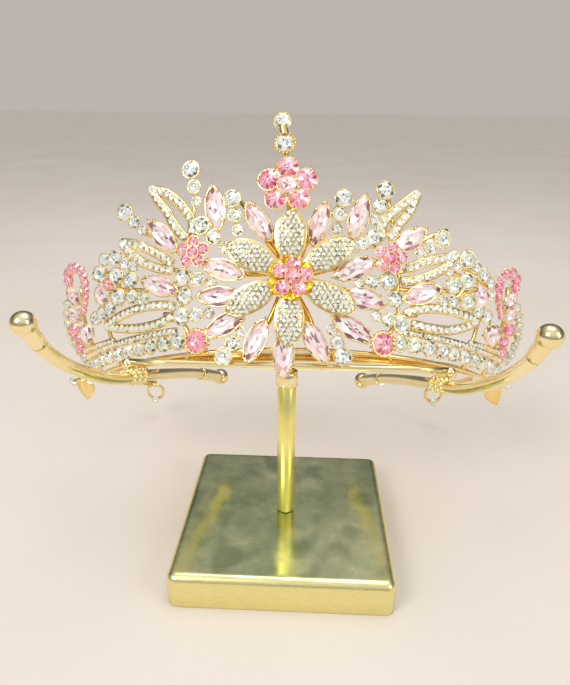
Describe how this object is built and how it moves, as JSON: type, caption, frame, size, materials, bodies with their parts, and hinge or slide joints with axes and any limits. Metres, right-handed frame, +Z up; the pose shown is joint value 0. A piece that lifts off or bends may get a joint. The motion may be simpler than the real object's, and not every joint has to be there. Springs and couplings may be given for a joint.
{
  "type": "tiara on a display stand",
  "caption": "A tall gold tiara set with clear and pink cut stones, resting on a plain brass display stand with a square base, a post and two curved arms.",
  "frame": {"origin": "centre of the underside of the square base, at the level it stands on", "axes": "+Z up, -Y the way the tiara faces, +X towards the right end of the tiara as seen from the front"},
  "size_m": [0.1754, 0.1248, 0.1427],
  "materials": {
    "brass": "polished",
    "gold": "polished gold plate",
    "clear_stones": "cut stones with a shifting tint, in gold settings",
    "pale_pink_stones": "cut pale pink stones in gold settings",
    "pink_stones": "cut pink stones in gold settings"
  },
  "bodies": {
    "root": {"chaton_left": "pink_stones", "chaton_right": "pink_stones", "cluster_left": "clear_stones", "cluster_right": "clear_stones", "finial_lower": "clear_stones", "finial_top": "clear_stones", "flower_heart": "pink_stones", "halo_left": "clear_stones", "halo_right": "clear_stones", "hook_left": "pink_stones", "hook_right": "pink_stones", "leaf_lower_left": "clear_stones", "leaf_lower_right": "clear_stones", "leaf_middle_left": "clear_stones", "leaf_middle_right": "clear_stones", "leaf_upper_left": "clear_stones", "leaf_upper_right": "clear_stones", "marquise_bottom": "pale_pink_stones", "marquise_bottom_left": "pale_pink_stones", "marquise_bottom_right": "pale_pink_stones", "marquise_crest_left": "pale_pink_stones", "marquise_crest_right": "pale_pink_stones", "marquise_lower_left": "pale_pink_stones", "marquise_lower_right": "pale_pink_stones", "marquise_middle_left": "pale_pink_stones", "marquise_middle_right": "pale_pink_stones", "marquise_side_left": "pale_pink_stones", "marquise_side_right": "pale_pink_stones", "marquise_top_left": "pale_pink_stones", "marquise_top_right": "pale_pink_stones", "marquise_upper_left": "pale_pink_stones", "marquise_upper_right": "pale_pink_stones", "marquise_wing_left": "pale_pink_stones", "marquise_wing_right": "pale_pink_stones", "petal_1": "clear_stones", "petal_2": "clear_stones", "petal_3": "clear_stones", "petal_4": "clear_stones", "petal_5": "clear_stones", "petal_6": "clear_stones", "pink_flower_left": "pink_stones", "pink_flower_right": "pink_stones", "row_left": "clear_stones", "row_right": "clear_stones", "stand_arm_left": "brass", "stand_arm_right": "brass", "stand_base": "brass", "stand_collar": "brass", "stand_crossbar": "brass", "stand_post": "brass", "stem_far_left": "clear_stones", "stem_far_right": "clear_stones", "stem_inner_left": "clear_stones", "stem_inner_right": "clear_stones", "stem_tall_left": "clear_stones", "stem_tall_right": "clear_stones", "tiara_frame": "gold", "top_flower": "pink_stones"}
  },
  "joints": []
}
